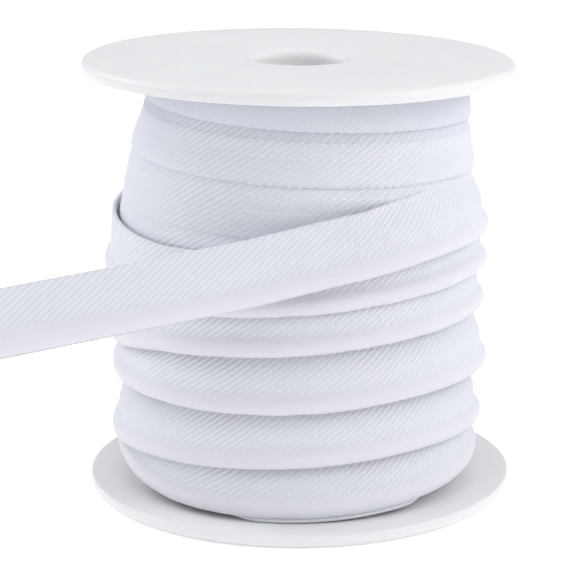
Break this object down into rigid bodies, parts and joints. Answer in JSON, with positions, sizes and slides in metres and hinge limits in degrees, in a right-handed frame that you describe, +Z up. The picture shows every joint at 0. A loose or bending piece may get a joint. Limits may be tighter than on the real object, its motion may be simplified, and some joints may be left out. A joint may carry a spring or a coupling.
{
  "type": "roll of piping trim on a flanged spool",
  "caption": "Spool of woven piping trim with a corded edge, wound in overlapping turns, its free end leaving at the front.",
  "frame": {"origin": "middle of the outer box, on the surface that the bottom flange stands on", "axes": "+Z up along the spool, +X to the right and away from the free end, +Y to the back"},
  "size_m": [0.1014, 0.0974, 0.0817],
  "materials": {
    "cloth": "matte twill weave",
    "plastic": "satin moulded"
  },
  "bodies": {
    "root": {"flange_bottom": "plastic", "flange_top": "plastic", "core": "plastic", "trim_roll": "cloth", "loose_end": "cloth"}
  },
  "joints": []
}
